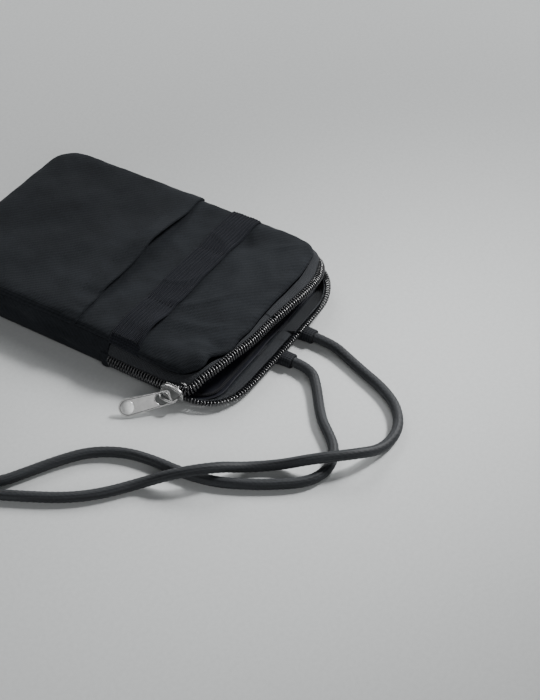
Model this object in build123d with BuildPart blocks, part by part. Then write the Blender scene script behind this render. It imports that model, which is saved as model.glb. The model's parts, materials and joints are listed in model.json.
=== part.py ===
from build123d import *
import os
from math import cos, pi, radians, sin, tan

# Neck pouch wallet, lying on its back: +Z up, +Y towards the zip mouth, +X towards the slider.
# The origin is the centre of the back panel's outer face. All sizes are in millimetres.

# Pouch body
WIDTH = 112.0
LENGTH = 167.0
CORNER_R = 14.0
CLOTH = 1.0
LINING = 0.6
BACK_T = 1.2
FRONT_TOP = 18.2          # outer face of the front panel over the closed half
FRONT_TOP_MOUTH = 15.4    # the same face at the mouth, where the bag flattens
FRONT_SHORT = 4.0         # how far the filled bag draws the front panel back from the mouth
FRONT_CORNER_R = 10.0
SLOPE_START = -5.0        # where the front panel starts to slope down to the mouth
LINING_INSET = 3.0
BINDING_W = 1.6
BINDING_T = 0.7

# Front trim
POCKET_Y = 6.5            # folded hem of the slip pocket
HEM_DEPTH = 11.0
HEM_PLY = 0.6
LOOSE_GAP = 0.3           # air under a layer that is sewn only at its edges
ELASTIC_W = 16.4
ELASTIC_Y = 34.5
ELASTIC_T = 1.1
TACK_X = (-54.2, -20.0, 24.0, 54.2)
TACK_W = 1.4
TACK_T = 0.35

# Zip
ZIP_END_Y = 27.0
GUSSET_END_Y = 24.0
TAPE_T = 0.8
COIL_R = 1.2
CHAIN_Z = 5.8
COIL_OFF = 1.9            # from the chain's middle to the middle of either coil
CORNER_TURN_Y = 74.3      # first turn of the coils round a corner
LIP_X = 38.0              # half the width of the mouth between the fixed corners
CLEAR = 0.3
COIL_GAP = 0.8            # between a lip's coil and the slanted end of a corner's coil
FRONT_LIP = (85.0, 13.4)  # y and z of the front lip's coil
REAR_LIP = (91.2, 3.9)    # y and z of the rear lip's coil
FRONT_FOLD = (79.5, 15.0)
REAR_FOLD = (83.5, 1.8)
FOLD_T = 3.0
FOLD_Z = (2.2, 9.4)

# Slider and pull
SLIDER_L = 12.5
SLIDER_W = 8.8
SLIDER_Y = 64.2
PLATE_T = 1.2
POST = (3.4, 0.8)
FLANGE = (7.0, 0.9)
BRIDGE_Y = (59.3, 69.0)
BRIDGE_OUT = 5.3
BRIDGE_T = 0.9
PULL_T = 0.9
PULL_EYE = (3.1, 2.6)     # half length and half width of the hole
PULL_EYE_RIM = 1.1
PULL_W = 8.4
PULL_REACH = 20.5
PULL_LIFT = 43.0          # how far the pull's face is turned up from upright
PULL_FACE_TURN = 38.0     # where that face looks, from +X towards +Y
PULL_DROOP = 7.0

# Neck cord
CORD_D = 5.0
FLOOR = CORD_D / 2
HUMP = 8.8                # height of a strand's middle where it passes over the other
TAB_X = 10.0
TAB_W = 9.0
TAB_T = 1.5
TAB_SLEEVE = 6.6
TAB_END_Y = 100.0
CORD_EXIT_Z = 3.2
COIL_AT = (162.0, -34.0)
TURN_R_IN = 25.0
TURN_R_OUT = 30.0
STUB = 18.5               # straight length over which a strand clears the outer turn
STUB_A_TURN = 45.0        # where run A joins the outer turn, from +X towards +Y
STUB_B_TURN = 155.0

HALF = WIDTH / 2
END = LENGTH / 2
COIL_X = HALF + COIL_R
OUTER_X = COIL_X + COIL_R + CLEAR
INNER_X = HALF - TAPE_T - CLEAR - PLATE_T
BINDING_IN = LINING_INSET + BINDING_W
os.makedirs("parts", exist_ok=True)


def save(builder, label):
    """Labels a finished sub-part and writes it to its own STEP file."""
    builder.part.label = label
    export_step(builder.part, "parts/" + label + ".step")


def below_front(raise_by):
    """Side view of everything below the front panel's outer face, moved up by raise_by."""
    beyond = 12.0
    drop = beyond * (FRONT_TOP - FRONT_TOP_MOUTH) / (END - SLOPE_START)
    with BuildSketch(Plane.YZ) as shape:
        Polygon(
            (-END - beyond, -1),
            (END + beyond, -1),
            (END + beyond, FRONT_TOP_MOUTH + raise_by - drop),
            (SLOPE_START, FRONT_TOP + raise_by),
            (-END - beyond, FRONT_TOP + raise_by),
            align=None,
        )
    return shape.sketch


def keep_below(raise_by):
    extrude(below_front(raise_by), amount=HALF + 5, both=True, mode=Mode.INTERSECT)


def keep_layer(low, high):
    """Keeps the layer between two heights about the front panel's outer face."""
    keep_below(high)
    extrude(below_front(low), amount=HALF + 5, both=True, mode=Mode.SUBTRACT)


def keep_y(low, high):
    with BuildSketch(Plane.XY.offset(-50)) as strip:
        with Locations((0, (low + high) / 2)):
            Rectangle(2 * WIDTH, high - low)
    extrude(strip.sketch, amount=100, mode=Mode.INTERSECT)


def outline(inset, mode=Mode.ADD):
    """The pouch's outline, moved in by inset."""
    RectangleRounded(WIDTH - 2 * inset, LENGTH - 2 * inset, CORNER_R - inset, mode=mode)


def front_outline(inset, mode=Mode.ADD):
    """The front panel's outline, shorter and tighter at the mouth, moved in by inset."""
    with BuildSketch(mode=Mode.PRIVATE) as shape:
        with Locations((0, -FRONT_SHORT / 2)):
            Rectangle(WIDTH - 2 * inset, LENGTH - FRONT_SHORT - 2 * inset)
        fillet(shape.vertices().group_by(Axis.Y)[0], radius=CORNER_R - inset)
        fillet(shape.vertices().group_by(Axis.Y)[-1], radius=FRONT_CORNER_R - inset)
    add(shape.sketch, mode=mode)


# ---- Back and front of the bag ----
with BuildPart() as back_panel:
    with BuildSketch():
        outline(0)
    extrude(amount=BACK_T)
    fillet(back_panel.edges().group_by(Axis.Z)[0], radius=0.4)
save(back_panel, "back_panel")

with BuildPart() as back_lining:
    with BuildSketch(Plane.XY.offset(BACK_T)):
        outline(LINING_INSET)
    extrude(amount=LINING)
save(back_lining, "back_lining")

with BuildPart() as front_panel:
    with BuildSketch(Plane.XY.offset(CHAIN_Z)):
        front_outline(0)
    extrude(amount=FRONT_TOP)
    keep_layer(-CLOTH, 0)
save(front_panel, "front_panel")

with BuildPart() as front_lining:
    with BuildSketch(Plane.XY.offset(CHAIN_Z)):
        front_outline(LINING_INSET)
    extrude(amount=FRONT_TOP)
    keep_layer(-CLOTH - LINING, -CLOTH)
save(front_lining, "front_lining")

# ---- Gusset, a wall round the closed half of the bag ----
with BuildPart() as side_gusset:
    with BuildSketch(Plane.XY.offset(BACK_T)):
        outline(0)
        outline(CLOTH, mode=Mode.SUBTRACT)
    extrude(amount=FRONT_TOP)
    keep_below(-CLOTH)
    keep_y(-END - 1, GUSSET_END_Y)
save(side_gusset, "side_gusset")

with BuildPart() as gusset_lining:
    with BuildSketch(Plane.XY.offset(BACK_T)):
        outline(CLOTH)
        outline(CLOTH + LINING, mode=Mode.SUBTRACT)
    extrude(amount=FRONT_TOP)
    keep_below(-CLOTH)
    keep_y(-END - 1, GUSSET_END_Y)
save(gusset_lining, "gusset_lining")

# ---- Bindings over the seam allowances inside the bag ----
with BuildPart() as back_seam_binding:
    with BuildSketch(Plane.XY.offset(BACK_T + LINING)):
        outline(LINING_INSET)
        outline(BINDING_IN, mode=Mode.SUBTRACT)
    extrude(amount=BINDING_T)
save(back_seam_binding, "back_seam_binding")

with BuildPart() as front_seam_binding:
    with BuildSketch(Plane.XY.offset(CHAIN_Z)):
        front_outline(LINING_INSET)
        front_outline(BINDING_IN, mode=Mode.SUBTRACT)
    extrude(amount=FRONT_TOP)
    keep_layer(-CLOTH - LINING - BINDING_T, -CLOTH - LINING)
save(front_seam_binding, "front_seam_binding")

# ---- Slip pocket and elastic on the front panel ----
with BuildPart() as pocket_panel:
    with BuildSketch(Plane.XY.offset(CHAIN_Z)):
        outline(0)
    extrude(amount=2 * FRONT_TOP)
    keep_layer(LOOSE_GAP, LOOSE_GAP + CLOTH)
    keep_y(-END - 1, POCKET_Y)
save(pocket_panel, "pocket_panel")

with BuildPart() as pocket_hem:
    with BuildSketch(Plane.XY.offset(CHAIN_Z)):
        outline(0)
    extrude(amount=2 * FRONT_TOP)
    keep_layer(LOOSE_GAP + CLOTH, LOOSE_GAP + CLOTH + HEM_PLY)
    keep_y(POCKET_Y - HEM_DEPTH, POCKET_Y)
save(pocket_hem, "pocket_hem")

with BuildPart() as elastic_band:
    with BuildSketch(Plane.XY.offset(CHAIN_Z)):
        outline(0)
    extrude(amount=2 * FRONT_TOP)
    keep_layer(LOOSE_GAP, LOOSE_GAP + ELASTIC_T)
    keep_y(ELASTIC_Y - ELASTIC_W / 2, ELASTIC_Y + ELASTIC_W / 2)
save(elastic_band, "elastic_band")

with BuildPart() as elastic_tacks:
    with BuildSketch(Plane.XY.offset(CHAIN_Z)):
        with Locations(*[(x, ELASTIC_Y) for x in TACK_X]):
            SlotOverall(ELASTIC_W - 2, TACK_W, rotation=90)
    extrude(amount=2 * FRONT_TOP)
    keep_layer(LOOSE_GAP + ELASTIC_T, LOOSE_GAP + ELASTIC_T + TACK_T)
save(elastic_tacks, "elastic_tacks")


# ---- Round bars along straight runs and tangent arcs, for the zip's coils and the cord ----
def arc_radii(points, share=0.45):
    """The largest arc at each inner point that leaves both its runs some straight length."""
    radii = []
    for before, here, after in zip(points, points[1:], points[2:]):
        run_in = Vector(*here) - Vector(*before)
        run_out = Vector(*after) - Vector(*here)
        turn = radians(run_in.get_angle(run_out))
        radii.append(share * min(run_in.length, run_out.length) / tan(turn / 2))
    return radii


def round_bar(label, points, radius):
    radii = arc_radii(points)
    with BuildLine() as line:
        FilletPolyline(*points, radius=radii)
    path = line.wire()
    with BuildPart() as bar:
        with BuildSketch(Plane(origin=path @ 0, z_dir=path % 0)):
            Circle(radius)
        sweep(path=path)
    share = bar.part.volume / (pi * radius**2 * path.length)
    print(label, "length", round(path.length, 1), "volume share", round(share, 4))
    print("  radii", [round(r, 1) for r in radii])
    save(bar, label)


def coil_path(side, coil_z, lip):
    """Middle of a coil from the zip's end, up the side and round the corner to the lip."""
    y_lip, z_lip = lip
    rise = z_lip - coil_z
    return [
        (side * COIL_X, ZIP_END_Y, coil_z),
        (side * COIL_X, CORNER_TURN_Y, coil_z),
        (side * (COIL_X - 3.9), CORNER_TURN_Y + 0.52 * (y_lip - CORNER_TURN_Y), coil_z + 0.2 * rise),
        (side * (LIP_X + 8.2), y_lip - 1.6, coil_z + 0.6 * rise),
        (side * (LIP_X + COIL_GAP), y_lip, z_lip),
    ]


# ---- Zip parts that are fixed to the bag, on each side and round each corner ----
for side_name, side in (("slider_side", 1), ("far_side", -1)):
    round_bar("front_coil_" + side_name, coil_path(side, CHAIN_Z + COIL_OFF, FRONT_LIP), COIL_R)
    round_bar("rear_coil_" + side_name, coil_path(side, CHAIN_Z - COIL_OFF, REAR_LIP), COIL_R)

    with BuildSketch() as side_zone:
        with Locations((side * (LIP_X + CLEAR), GUSSET_END_Y)):
            corner = Align.MIN if side > 0 else Align.MAX
            Rectangle(WIDTH, LENGTH, align=(corner, Align.MIN))

    with BuildPart() as front_tape:
        with BuildSketch(Plane.XY.offset(CHAIN_Z + COIL_OFF)):
            front_outline(0)
            front_outline(TAPE_T, mode=Mode.SUBTRACT)
            add(side_zone.sketch, mode=Mode.INTERSECT)
        extrude(amount=FRONT_TOP)
        keep_below(-CLOTH)
    save(front_tape, "front_tape_" + side_name)

    with BuildPart() as rear_tape:
        with BuildSketch(Plane.XY.offset(BACK_T)):
            outline(0)
            outline(TAPE_T, mode=Mode.SUBTRACT)
            add(side_zone.sketch, mode=Mode.INTERSECT)
        extrude(amount=CHAIN_Z - COIL_OFF - BACK_T)
    save(rear_tape, "rear_tape_" + side_name)

    with BuildPart() as zip_end_fold:
        with BuildSketch(Plane.XY.offset(FOLD_Z[0])):
            with Locations((side * (HALF + FOLD_T / 2), GUSSET_END_Y)):
                Rectangle(FOLD_T, 2 * (ZIP_END_Y - GUSSET_END_Y))
        extrude(amount=FOLD_Z[1] - FOLD_Z[0])
        outer_edges = zip_end_fold.edges().filter_by(Axis.Y).group_by(Axis.X)
        fillet(outer_edges[-1 if side > 0 else 0], radius=1.2)
    save(zip_end_fold, "zip_end_fold_" + side_name)


# ---- Lips of the mouth, each a strip of tape with its coil, hinged at its seam ----
def strip_side_view(seam, coil):
    """Corners of a lip's tape in side view, from just past its fold to its coil."""
    along = (Vector(*coil) - Vector(*seam)).normalized()
    across = Vector(-along.Y, along.X) * (TAPE_T / 2)
    start = Vector(*seam) + along * 1.2
    finish = Vector(*coil) - along * COIL_R
    return [start + across, start - across, finish - across, finish + across]


for lip_name, seam, coil in (("front", FRONT_FOLD, FRONT_LIP), ("rear", REAR_FOLD, REAR_LIP)):
    with BuildPart() as lip_tape:
        with BuildSketch(Plane.YZ):
            Polygon(*strip_side_view(seam, coil), align=None)
        extrude(amount=LIP_X, both=True)
    save(lip_tape, lip_name + "_lip_tape")

    with BuildPart() as lip_coil:
        with BuildSketch(Plane.YZ):
            with Locations(coil):
                Circle(COIL_R)
        extrude(amount=LIP_X, both=True)
    save(lip_coil, lip_name + "_lip_coil")


# ---- Slider: two plates joined by a post, with flanges and a bridge ----
def plate_outline(x):
    """A plate's outline at x, wide at the nose, in the plane of Y and Z."""
    rear_y = SLIDER_Y - SLIDER_L / 2
    nose_y = SLIDER_Y + SLIDER_L / 2
    half_w = SLIDER_W / 2
    with BuildSketch(Plane.YZ.offset(x)) as shape:
        Polygon(
            (rear_y, CHAIN_Z - 0.75 * half_w),
            (nose_y - 3, CHAIN_Z - half_w),
            (nose_y, CHAIN_Z - 0.6 * half_w),
            (nose_y, CHAIN_Z + 0.6 * half_w),
            (nose_y - 3, CHAIN_Z + half_w),
            (rear_y, CHAIN_Z + 0.75 * half_w),
            align=None,
        )
        fillet(shape.vertices(), radius=1.6)
    return shape.sketch


with BuildPart() as slider_body:
    extrude(plate_outline(OUTER_X), amount=PLATE_T)
    fillet(slider_body.faces().sort_by(Axis.X)[-1].edges(), radius=0.4)
    extrude(plate_outline(INNER_X), amount=PLATE_T)
    with BuildSketch(Plane.YZ.offset(INNER_X + PLATE_T)):
        with Locations((SLIDER_Y + SLIDER_L / 2 - 2.4, CHAIN_Z)):
            RectangleRounded(*POST, 0.38)
    extrude(amount=OUTER_X - INNER_X - PLATE_T)
    flange_x = HALF + 0.4
    flange_z = (SLIDER_W - FLANGE[1]) / 2
    with BuildSketch(Plane.YZ.offset(flange_x)):
        with Locations((SLIDER_Y - 0.4, CHAIN_Z - flange_z), (SLIDER_Y - 0.4, CHAIN_Z + flange_z)):
            Rectangle(*FLANGE)
    extrude(amount=OUTER_X + PLATE_T / 2 - flange_x)
    with BuildSketch(Plane.XY.offset(CHAIN_Z)):
        bridge_l = BRIDGE_Y[1] - BRIDGE_Y[0]
        foot = 0.3
        with Locations((OUTER_X + PLATE_T - foot, sum(BRIDGE_Y) / 2)):
            Rectangle(BRIDGE_OUT + foot, bridge_l, align=(Align.MIN, Align.CENTER))
            gap = (BRIDGE_OUT + foot - BRIDGE_T, bridge_l - 2 * BRIDGE_T)
            Rectangle(*gap, align=(Align.MIN, Align.CENTER), mode=Mode.SUBTRACT)
    extrude(amount=BRIDGE_T / 2, both=True)
    fillet(slider_body.edges().filter_by(Axis.Z).group_by(Axis.X)[-1], radius=2.2)
save(slider_body, "slider_body")

# ---- Pull tab, hooked on the bridge and lying turned with its lower edge near the table ----
pull_at = Vector(OUTER_X + PLATE_T + BRIDGE_OUT - BRIDGE_T / 2, BRIDGE_Y[0] + 3.0, CHAIN_Z)
face_up = radians(PULL_LIFT)
face_turn = radians(PULL_FACE_TURN)
pull_face = Vector(cos(face_up) * cos(face_turn), cos(face_up) * sin(face_turn), sin(face_up))
level = Vector(sin(face_turn), -cos(face_turn), 0)
down_face = level.cross(pull_face)
down_share = sin(radians(PULL_DROOP)) / down_face.Z
pull_dir = level * (1 - down_share**2) ** 0.5 - down_face * down_share
pull_plane = Plane(origin=pull_at, x_dir=pull_dir, z_dir=pull_face)

with BuildPart() as pull_tab:
    eye_end = -PULL_EYE[0] - PULL_EYE_RIM
    with BuildSketch(pull_plane):
        Polygon(
            (eye_end, 0.6 - PULL_W / 2),
            (PULL_REACH, -PULL_W / 2),
            (PULL_REACH, PULL_W / 2),
            (eye_end, PULL_W / 2 - 0.6),
            align=None,
        )
    extrude(amount=PULL_T / 2, both=True)
    corner_edges = pull_tab.edges().filter_by(Axis(pull_at, pull_face))
    by_reach = corner_edges.sort_by(Axis(pull_at, pull_dir))
    fillet(by_reach[:2], radius=2.6)
    fillet(by_reach[2:], radius=PULL_W / 2 - 0.15)
    with BuildSketch(pull_plane):
        Ellipse(*PULL_EYE)
    extrude(amount=PULL_T, both=True, mode=Mode.SUBTRACT)
save(pull_tab, "pull_tab")
print("pull eye at", pull_at, "points along", pull_dir, "faces", pull_face)

# ---- Cord tabs, sewn into the back seam under the rear lip ----
for tab_name, side in (("left", -1), ("right", 1)):
    with BuildPart() as cord_tab:
        with BuildSketch(Plane.XY.offset(0.2)):
            with Locations((side * TAB_X, END)):
                Rectangle(TAB_W, TAB_END_Y - END, align=(Align.CENTER, Align.MIN))
        extrude(amount=TAB_T)
        with BuildSketch():
            with Locations((side * TAB_X, TAB_END_Y)):
                Rectangle(TAB_W, TAB_SLEEVE, align=(Align.CENTER, Align.MAX))
        extrude(amount=2 * CORD_EXIT_Z)
        fillet(cord_tab.edges().filter_by(Axis.Y).group_by(Axis.Z)[-1], radius=2.2)
    save(cord_tab, "cord_tab_" + tab_name)


# ---- Neck cord: two runs on the table, and the coil that holds the rest ----
def stub_points(turn):
    """Where a strand leaves the outer turn, and where it is clear of the coil."""
    angle = radians(turn)
    on_turn = Vector(*COIL_AT, FLOOR) + Vector(cos(angle), sin(angle)) * TURN_R_OUT
    away = Vector(-sin(angle), cos(angle)) * (1 if turn < 90 else -1)
    return on_turn, on_turn + away * STUB


on_a, clear_a = stub_points(STUB_A_TURN)
on_b, clear_b = stub_points(STUB_B_TURN)
last_run_a = 15.0
last_run_b = 12.0

run_a = [
    (-TAB_X, TAB_END_Y, CORD_EXIT_Z),
    (-TAB_X, 110.5, CORD_EXIT_Z),
    (-3.5, 121, FLOOR),
    (5, 131, FLOOR),
    (4.5, 144, FLOOR),
    (10, 156, FLOOR),
    (23, 163, FLOOR),
    (37, 162, FLOOR),
    (50, 156.5, HUMP),
    (63, 141, HUMP),
    (68.5, 128, FLOOR),
    (78.5, 114.5, FLOOR),
    (88.5, 108, HUMP),
    (101, 94.5, HUMP),
    (108.5, 82, FLOOR),
    (122, 71.5, FLOOR),
    (132.5, 59.5, FLOOR),
    (141, 44, FLOOR),
    (149.5, 27, FLOOR),
    tuple(clear_a + (clear_a - on_a).normalized() * last_run_a),
    tuple(clear_a),
]
run_b = [
    (TAB_X, TAB_END_Y, CORD_EXIT_Z),
    (TAB_X, 111.5, CORD_EXIT_Z),
    (17, 121, FLOOR),
    (27, 126, FLOOR),
    (35.5, 130, FLOOR),
    (40.5, 136, FLOOR),
    (46.3, 142.3, FLOOR),
    (53, 146, FLOOR),
    (60.4, 147, FLOOR),
    (67.6, 145, FLOOR),
    (73.5, 140, FLOOR),
    (79.3, 132, FLOOR),
    (85.5, 122, FLOOR),
    (92, 108.5, FLOOR),
    (95, 93.5, FLOOR),
    (95.5, 79, FLOOR),
    (98, 65, FLOOR),
    (106, 51.5, FLOOR),
    (118, 42.5, FLOOR),
    (130.5, 35, FLOOR),
    (141, 28.5, FLOOR),
    (147.4, 18, FLOOR),
    tuple(clear_b + (clear_b - on_b).normalized() * last_run_b),
    tuple(clear_b),
]
round_bar("neck_cord_run_a", run_a, CORD_D / 2)
round_bar("neck_cord_run_b", run_b, CORD_D / 2)

with BuildPart() as neck_cord_coil:
    with BuildSketch():
        with Locations(COIL_AT):
            Circle(TURN_R_OUT + CORD_D / 2)
            Circle(TURN_R_IN - CORD_D / 2, mode=Mode.SUBTRACT)
    extrude(amount=2 * CORD_D)
    fillet(neck_cord_coil.edges(), radius=2.2)
    for on_turn, clear in ((on_a, clear_a), (on_b, clear_b)):
        with BuildSketch(Plane(origin=clear, z_dir=on_turn - clear)):
            Circle(CORD_D / 2)
        extrude(amount=STUB)
save(neck_cord_coil, "neck_cord_coil")
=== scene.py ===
import json
from math import cos, pi, radians, sin

import bpy
import numpy as np
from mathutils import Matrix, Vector


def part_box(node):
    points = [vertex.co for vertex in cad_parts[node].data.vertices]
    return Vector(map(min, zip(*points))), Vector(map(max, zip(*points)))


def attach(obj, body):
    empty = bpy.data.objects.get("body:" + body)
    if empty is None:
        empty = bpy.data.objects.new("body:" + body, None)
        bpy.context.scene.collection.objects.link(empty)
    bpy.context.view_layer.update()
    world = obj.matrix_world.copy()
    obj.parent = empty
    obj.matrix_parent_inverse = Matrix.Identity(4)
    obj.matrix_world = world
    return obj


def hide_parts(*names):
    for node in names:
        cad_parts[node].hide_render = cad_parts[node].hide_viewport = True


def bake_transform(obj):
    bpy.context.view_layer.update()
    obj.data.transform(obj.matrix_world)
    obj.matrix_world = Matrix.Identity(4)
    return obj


# Neck pouch wallet around its CAD frame. Lengths below are in millimetres and become metres in build_mesh.
# +Z is up, +Y goes towards the zip mouth, +X towards the slider's side.

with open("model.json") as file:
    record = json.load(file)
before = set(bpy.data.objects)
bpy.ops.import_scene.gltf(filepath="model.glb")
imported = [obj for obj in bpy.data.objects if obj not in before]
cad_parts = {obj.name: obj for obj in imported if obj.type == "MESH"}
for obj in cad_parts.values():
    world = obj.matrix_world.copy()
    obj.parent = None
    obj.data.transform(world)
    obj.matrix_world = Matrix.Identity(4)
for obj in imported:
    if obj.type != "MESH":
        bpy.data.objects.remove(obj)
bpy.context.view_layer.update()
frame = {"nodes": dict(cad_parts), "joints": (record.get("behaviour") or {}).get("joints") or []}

MM = 0.001
UP = np.array([0.0, 0.0, 1.0])


def node_box(node):
    """A CAD node's lowest and highest corner in millimetres."""
    low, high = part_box(node)
    return np.array(low) / MM, np.array(high) / MM


# ---- Sizes taken from the frame ----
HALF, END = node_box("back_panel")[1][:2]
FRONT_END = node_box("front_panel")[1][1]
HEM_Y = node_box("pocket_panel")[1][1]
ELASTIC_LOW_Y, ELASTIC_HIGH_Y = node_box("elastic_band")[0][1], node_box("elastic_band")[1][1]
GUSSET_END_Y = node_box("side_gusset")[1][1]
CHAIN_Z = (node_box("slider_body")[0][2] + node_box("slider_body")[1][2]) / 2

# ---- Sizes of the visual model's own features ----
LOW_R, HIGH_R, BACK_R = 14.0, 10.0, 14.0      # corner radii of the front panel and of the back panel
STEPS_X, STEPS_Y, STEPS_CORNER = 84, 139, 10  # divisions of each end, each side and each corner
CLOTH_T = 0.9
WALL_LAP = 3.4         # how far the gusset laps over the start of the zip
EDGE_ROLL = 8.5        # width over which the filled front rises from its seam
EDGE_RISE = 3.0
COIL_PITCH = 1.5
COIL_HALF_W, COIL_HALF_T, FILAMENT_R = 1.8, 1.0, 0.41


# ---------------------------------------------------------------- mesh helpers
def build_mesh(name, points, faces, material, surface=None):
    """A mesh from points in millimetres. surface holds each point's place on the cloth, for its weave."""
    points = np.asarray(points, float).reshape(-1, 3)
    mesh = bpy.data.meshes.new(name)
    mesh.from_pydata((points * MM).tolist(), [], [list(map(int, f)) for f in faces])
    mesh.validate()
    mesh.polygons.foreach_set("use_smooth", [True] * len(mesh.polygons))
    place = points if surface is None else np.asarray(surface, float).reshape(-1, 3)
    attribute = mesh.attributes.new("cloth_mm", "FLOAT_VECTOR", "POINT")
    attribute.data.foreach_set("vector", place.astype(np.float32).ravel())
    mesh.materials.append(material)
    piece = bpy.data.objects.new(name, mesh)
    bpy.context.scene.collection.objects.link(piece)
    return piece


def grid_faces(rows, columns, wrap=False, start=0):
    """Quads over a grid of points. wrap joins the last column to the first."""
    i, j = np.meshgrid(np.arange(rows - 1), np.arange(columns - (not wrap)), indexing="ij")
    k = (j + 1) % columns
    quads = np.stack([i * columns + j, i * columns + k, (i + 1) * columns + k, (i + 1) * columns + j], -1)
    return (quads.reshape(-1, 4) + start).tolist()


def bar_faces(rows, sides):
    """The skin of a bar made of rings, with both its ends closed."""
    last = (rows - 1) * sides
    ends = [list(range(sides))[::-1], list(range(last, last + sides))]
    return grid_faces(rows, sides, wrap=True) + ends


def solidify(piece, thickness):
    modifier = piece.modifiers.new("thickness", "SOLIDIFY")
    modifier.thickness = thickness * MM
    modifier.offset = -1.0
    modifier.use_even_offset = False
    return piece


def laid(shape, along, across):
    """Each point's place on the cloth, from its place along and across."""
    return np.stack([np.broadcast_to(along, shape), np.broadcast_to(across, shape), np.zeros(shape)], -1)


def unit(vectors):
    vectors = np.asarray(vectors, float)
    return vectors / np.maximum(np.linalg.norm(vectors, axis=-1, keepdims=True), 1e-9)


def smoothstep(t):
    t = np.clip(t, 0, 1)
    return t * t * (3 - 2 * t)


def hill(x, middle, width):
    """A smooth hill of height 1."""
    return np.exp(-(((x - middle) / width) ** 2))


def resample(line, step):
    """A line's points spaced step apart."""
    line = np.asarray(line, float)
    along = lengths_along(line)
    count = max(2, int(round(along[-1] / step)) + 1)
    wanted = np.linspace(0, along[-1], count)
    return np.stack([np.interp(wanted, along, line[:, k]) for k in range(3)], 1)


def through(points, step):
    """A smooth line through the points, by Catmull-Rom spans, sampled every step."""
    p = np.asarray(points, float)
    p = np.vstack([2 * p[0] - p[1], p, 2 * p[-1] - p[-2]])
    t = np.linspace(0, 1, 24, endpoint=False)[:, None]
    spans = []
    for a, b, c, d in zip(p, p[1:], p[2:], p[3:]):
        slope_b, slope_c = (c - a) / 2, (d - b) / 2
        spans.append((2 * t**3 - 3 * t**2 + 1) * b + (t**3 - 2 * t**2 + t) * slope_b
                     + (3 * t**2 - 2 * t**3) * c + (t**3 - t**2) * slope_c)
    return resample(np.vstack(spans + [p[-2:-1]]), step)


def lengths_along(line):
    return np.concatenate([[0], np.cumsum(np.linalg.norm(np.diff(line, axis=0), axis=1))])


def directions(line):
    return unit(np.gradient(np.asarray(line, float), axis=0))


def soften(values, reach):
    """values smoothed along their first axis."""
    kernel = hill(np.arange(-3 * reach, 3 * reach + 1), 0, reach)
    kernel /= kernel.sum()
    padded = np.pad(values, ((3 * reach, 3 * reach), (0, 0)), "edge")
    return np.stack([np.convolve(column, kernel, "valid") for column in padded.T], 1)


def ripple(x, y, size, seed):
    """Gentle unevenness from a few crossed waves, about 1 high."""
    draw = np.random.default_rng(seed)
    total = 0
    for _ in range(7):
        angle, phase, scale = draw.uniform(0, 2 * pi), draw.uniform(0, 2 * pi), draw.uniform(0.7, 1.5)
        total = total + np.sin((x * cos(angle) + y * sin(angle)) * 2 * pi / (size * scale) + phase)
    return total / 4


def tube(name, line, radius, material, sides=8, flat=1.0, side_way=None):
    """A round bar along a line. flat squeezes it along side_way."""
    line = np.asarray(line, float)
    along = directions(line)
    first = side_way if side_way is not None else np.array([0.3, 0.2, 0.93])
    side = unit(np.cross(along, np.broadcast_to(first, along.shape)))
    other = np.cross(along, side)
    turn = np.linspace(0, 2 * pi, sides, endpoint=False)
    radius = np.broadcast_to(np.asarray(radius, float), (len(line),))
    ring = (side[:, None] * np.cos(turn)[:, None] + other[:, None] * np.sin(turn)[:, None] * flat)
    points = line[:, None] + ring * radius[:, None, None]
    return build_mesh(name, points, bar_faces(len(line), sides), material)


def join(name, pieces):
    """One piece from several meshes."""
    points, faces, surface, start = [], [], [], 0
    for piece in pieces:
        mesh = piece.data
        count = len(mesh.vertices)
        co = np.zeros(count * 3)
        mesh.vertices.foreach_get("co", co)
        place = np.zeros(count * 3)
        mesh.attributes["cloth_mm"].data.foreach_get("vector", place)
        points.append(co.reshape(-1, 3) / MM)
        surface.append(place.reshape(-1, 3))
        faces += [[v + start for v in polygon.vertices] for polygon in mesh.polygons]
        start += count
        material = mesh.materials[0]
        bpy.data.objects.remove(piece)
    return build_mesh(name, np.vstack(points), faces, material, np.vstack(surface))


def finish_piece(piece, body, nodes):
    """Puts a finished piece on its body and hides the CAD nodes that it stands for."""
    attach(piece, body)
    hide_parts(*nodes)


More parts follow.
